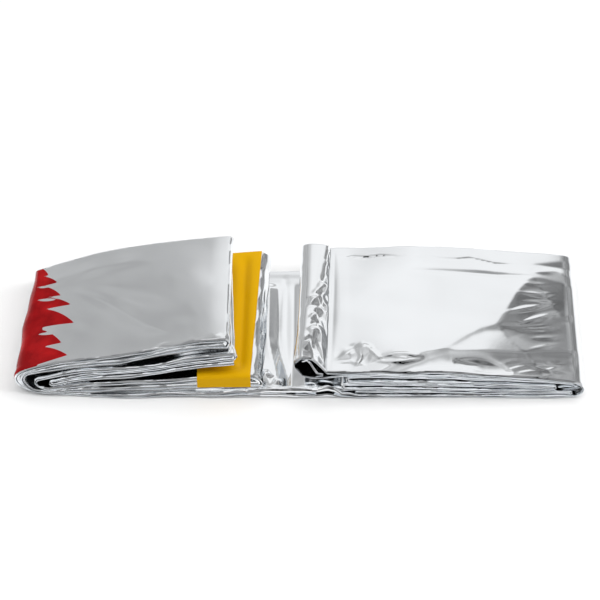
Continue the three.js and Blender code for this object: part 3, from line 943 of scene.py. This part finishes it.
FOIL_COLOUR = (0.90, 0.92, 0.94, 1)
FOIL_SPECULAR = 0.5
FOIL_ROUGH_SIZE = 18.0
MIRROR_ROUGH, SATIN_ROUGH = (0.05, 0.12), (0.16, 0.24)
FOIL_BUMP, FOIL_BUMP_SIZE, FOIL_BUMP_HEIGHT = 0.12, 2.2, 0.05
RED_LIGHT = (0.44, 0.008, 0.010, 1)
RED_DARK = (0.27, 0.003, 0.005, 1)
RED_SHADE_SIZE = 9.0
RED_METALLIC = 0.2
RED_SPECULAR = 0.05
RED_SOFT = 0.12  # half the width of its blurred edge
YELLOW_COLOUR = (0.68, 0.372, 0.001, 1)
YELLOW_SPECULAR = 0.08
YELLOW_ROUGH, YELLOW_ROUGH_SIZE = (0.36, 0.50), 12.0
NOISE_DETAIL = 3.0
MOST_NOISE, MIDDLE_NOISE = (0.3, 0.7), (0.35, 0.65)  # ranges of a noise's values


def new_material(name):
    material = bpy.data.materials.new(name)
    material.use_nodes = True
    return material, material.node_tree, material.node_tree.nodes["Principled BSDF"]


def noise(tree, size):
    """Noise with features about size millimetres wide, in the object's own space"""
    coords = node(tree, "ShaderNodeTexCoord")
    return node(tree, "ShaderNodeTexNoise", {
        "Vector": coords.outputs["Object"], "Scale": 1 / (size * MM), "Detail": NOISE_DETAIL,
    }).outputs["Fac"]


def ranged(tree, value, low, high, to_low=0.0, to_high=1.0, curve="LINEAR"):
    return node(tree, "ShaderNodeMapRange", {
        "Value": value, "From Min": low, "From Max": high, "To Min": to_low, "To Max": to_high,
    }, interpolation_type=curve).outputs["Result"]


def mix_colours(tree, share, first, second):
    return node(tree, "ShaderNodeMix", {0: share, 6: first, 7: second}, data_type="RGBA").outputs[2]


def foil_material(name, rough):
    """Mirror film, unevenly rough between two values"""
    material, tree, shader = new_material(name)
    bump = node(tree, "ShaderNodeBump", {
        "Height": noise(tree, FOIL_BUMP_SIZE), "Strength": FOIL_BUMP, "Distance": FOIL_BUMP_HEIGHT * MM,
    })
    set_inputs(shader, {
        "Metallic": 1.0,
        "Base Color": FOIL_COLOUR,
        "Roughness": ranged(tree, noise(tree, FOIL_ROUGH_SIZE), *MOST_NOISE, *rough),
        "Normal": bump.outputs["Normal"],
    })
    return material


def red_foil_material(name, rough):
    """Film that is red where its sheet is marked so"""
    material = foil_material(name, rough)
    tree = material.node_tree
    depth = node(tree, "ShaderNodeAttribute", attribute_name="red").outputs["Fac"]
    red = ranged(tree, depth, -RED_SOFT, RED_SOFT)
    shade = mix_colours(tree, ranged(tree, noise(tree, RED_SHADE_SIZE), *MIDDLE_NOISE), RED_DARK, RED_LIGHT)
    set_inputs(tree.nodes["Principled BSDF"], {
        "Base Color": mix_colours(tree, red, FOIL_COLOUR, shade),
        "Metallic": ranged(tree, red, 0, 1, 1, RED_METALLIC),
        "Specular IOR Level": ranged(tree, red, 0, 1, FOIL_SPECULAR, RED_SPECULAR),
    })
    return material


def yellow_material():
    material, tree, shader = new_material("yellow_film")
    set_inputs(shader, {
        "Base Color": YELLOW_COLOUR,
        "Specular IOR Level": YELLOW_SPECULAR,
        "Roughness": ranged(tree, noise(tree, YELLOW_ROUGH_SIZE), *MOST_NOISE, *YELLOW_ROUGH),
    })
    return material


# Studio: zones of the surroundings by direction. Azimuth is from +Y towards +X, in degrees. The azimuths of
# a slanted zone move by slant for each degree above SLANT_FROM. Values are brightnesses.
WORLD_BASE = 0.27
WORLD_UNEVEN = 0.22  # how far the brightness wanders, as a share of what it lacks to UNEVEN_BELOW
UNEVEN_BELOW = 1.1
UNEVEN_SCALE, UNEVEN_DETAIL = 13.0, 2.0
SLANT_FROM = 40.0
Zone = namedtuple("Zone", "az_from az_to el_from el_to az_soft el_soft slant value")
ZONES = [
    Zone(-200, 200, 60, 100, 1, 10, 0, 0.30),
    Zone(-70, 80, 60, 100, 14, 10, 0, 0.06),
    Zone(-200, 200, -100, 10, 1, 5, 0, 0.97),
    Zone(-90, -4, 14, 66, 6, 6, 0, 0.38),
    Zone(-36, -4, 14, 66, 22, 6, 0, 0.50),
    Zone(0, 80, 46, 66, 6, 4, 0, 0.42),
    Zone(-5, 30, 15, 48.5, 8, 3.5, 0, 0.95),
    Zone(14.4, 58, 12, 52, 1.8, 5, -0.4, 0.31),
    Zone(20, 58, 44, 62, 5, 5, 0, 0.25),
    Zone(-5, 16, 48, 64, 5, 4, 0, 0.62),
    Zone(58, 112, 3, 58, 5, 6, 0, 0.62),
    Zone(148, 200, 22, 58, 6, 6, 0, 0.14),
    Zone(-200, -177, 22, 58, 2, 6, 0, 0.14),
    Zone(-177, -148, 22, 58, 2, 6, 0, 0.32),
    Zone(-75, -12, 8, 26, 8, 4, 0, 0.50),
    Zone(-128, -92, 6, 50, 6, 6, 0, 0.75),
]


def paint_world():
    world = bpy.data.worlds.new("studio")
    bpy.context.scene.world = world
    world.use_nodes = True
    tree = world.node_tree
    coords = node(tree, "ShaderNodeTexCoord")
    parts = node(tree, "ShaderNodeSeparateXYZ", {0: coords.outputs["Generated"]})

    def calculate(operation, first, second=0.0):
        return node(tree, "ShaderNodeMath", {0: first, 1: second}, operation=operation).outputs[0]

    azimuth = calculate("DEGREES", calculate("ARCTAN2", parts.outputs["X"], parts.outputs["Y"]))
    elevation = calculate("DEGREES", calculate("ARCSINE", parts.outputs["Z"]))
    level = WORLD_BASE
    above = calculate("SUBTRACT", elevation, SLANT_FROM)
    for zone in ZONES:
        turned = calculate("SUBTRACT", azimuth, calculate("MULTIPLY", above, zone.slant))
        mask = 1.0
        for value, low, high, soft in (
            (turned, zone.az_from, zone.az_to, zone.az_soft),
            (elevation, zone.el_from, zone.el_to, zone.el_soft),
        ):
            for edge, side in ((low, 1), (high, -1)):
                outer, inner = edge - side * soft, edge + side * soft
                mask = calculate("MULTIPLY", mask, ranged(tree, value, outer, inner, curve="SMOOTHSTEP"))
        level = node(tree, "ShaderNodeMix", {0: mask, 2: level, 3: zone.value}).outputs[0]
    wander = node(tree, "ShaderNodeTexNoise", {
        "Vector": coords.outputs["Generated"], "Scale": UNEVEN_SCALE, "Detail": UNEVEN_DETAIL,
    }).outputs["Fac"]
    wander = ranged(tree, wander, *MOST_NOISE, -WORLD_UNEVEN, WORLD_UNEVEN)
    room = calculate("SUBTRACT", UNEVEN_BELOW, level)
    level = calculate("ADD", level, calculate("MULTIPLY", wander, room))
    set_inputs(tree.nodes["Background"], {"Color": (1, 1, 1, 1), "Strength": level})


# Lamps by name, place and size in metres, and watts
LAMPS = [
    ("overhead", (0, 0, 2.2), 3.0, 45),
    ("right", (1.6, -0.1, 1.2), 1.2, 17),
]
FLOOR_REACH = 6.0
FLOOR_COLOUR = (0.9, 0.9, 0.9, 1)


def add_lamp(name, location, size, energy):
    """A square lamp aimed at the bag, which the film doesn't mirror"""
    data = bpy.data.lights.new(name, "AREA")
    data.shape = "SQUARE"
    data.size = size
    data.energy = energy
    lamp = add_object(name, data)
    lamp.location = location
    lamp.rotation_euler = Vector(location).to_track_quat("Z", "Y").to_euler()
    lamp.visible_glossy = False


def light_and_floor():
    for lamp in LAMPS:
        add_lamp(*lamp)
    mesh = bpy.data.meshes.new("floor")
    corners = [(x * FLOOR_REACH, y * FLOOR_REACH, 0) for x, y in ((-1, -1), (1, -1), (1, 1), (-1, 1))]
    mesh.from_pydata(corners, [], [(0, 1, 2, 3)])
    floor = add_object("floor", mesh)
    material, _, shader = new_material("floor")
    set_inputs(shader, {"Base Color": FLOOR_COLOUR, "Roughness": 1.0, "Specular IOR Level": 0.0})
    mesh.materials.append(material)


CAMERA_ELEVATION = 40.0
CAMERA_DISTANCE = 1000.0
CAMERA_AIM_Z = 19.6
CAMERA_LENS, CAMERA_SENSOR = 136.4, 36.0


def aim_camera():
    elevation = math.radians(CAMERA_ELEVATION)
    aim = Vector((0, 0, CAMERA_AIM_Z * MM))
    back = Vector((0, -math.cos(elevation), math.sin(elevation)))
    data = bpy.data.cameras.new("camera")
    data.lens = CAMERA_LENS
    data.sensor_width = CAMERA_SENSOR
    camera = add_object("camera", data)
    camera.location = aim + back * (CAMERA_DISTANCE * MM)
    camera.rotation_mode = "QUATERNION"
    camera.rotation_quaternion = (-back).to_track_quat("-Z", "Y")
    bpy.context.scene.camera = camera


def dress(piece, material, node_name):
    piece.data.materials.append(material)
    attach(piece, "root")
    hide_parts(node_name)


aim_camera()
paint_world()
light_and_floor()
bpy.context.scene.view_settings.view_transform = "Standard"

mirror = foil_material("foil_mirror", MIRROR_ROUGH)
satin = red_foil_material("foil_satin", SATIN_ROUGH)
FILM_PIECES = [
    ("film_left_core", left_core_strip, across_places(60, 0.3), mirror, 51),
    ("film_left_cover", left_cover_strip, across_places(104), satin, 53),
    ("film_right_cover", right_cover_strip, across_places(108, 0.3), mirror, 55),
    ("film_right_core", right_core_strip, across_places(32, 0.7), mirror, 57),
]
for piece_name, make_strip, places, foil, seed in FILM_PIECES:
    film, length = film_piece(piece_name, make_strip(), places, seed)
    dress(film, foil, "foil_bag")
for seed, (piece_name, ply) in enumerate(LOOSE_PLIES.items(), start=LOOSE_PLY_SEED):
    places = across_places(LOOSE_PLY_ROWS)
    film, length = film_piece(piece_name, loose_ply_strip(ply), places, seed, 1, ply.half)
    dress(film, mirror, "foil_bag")
band = band_piece()
dress(band, yellow_material(), "yellow_band")
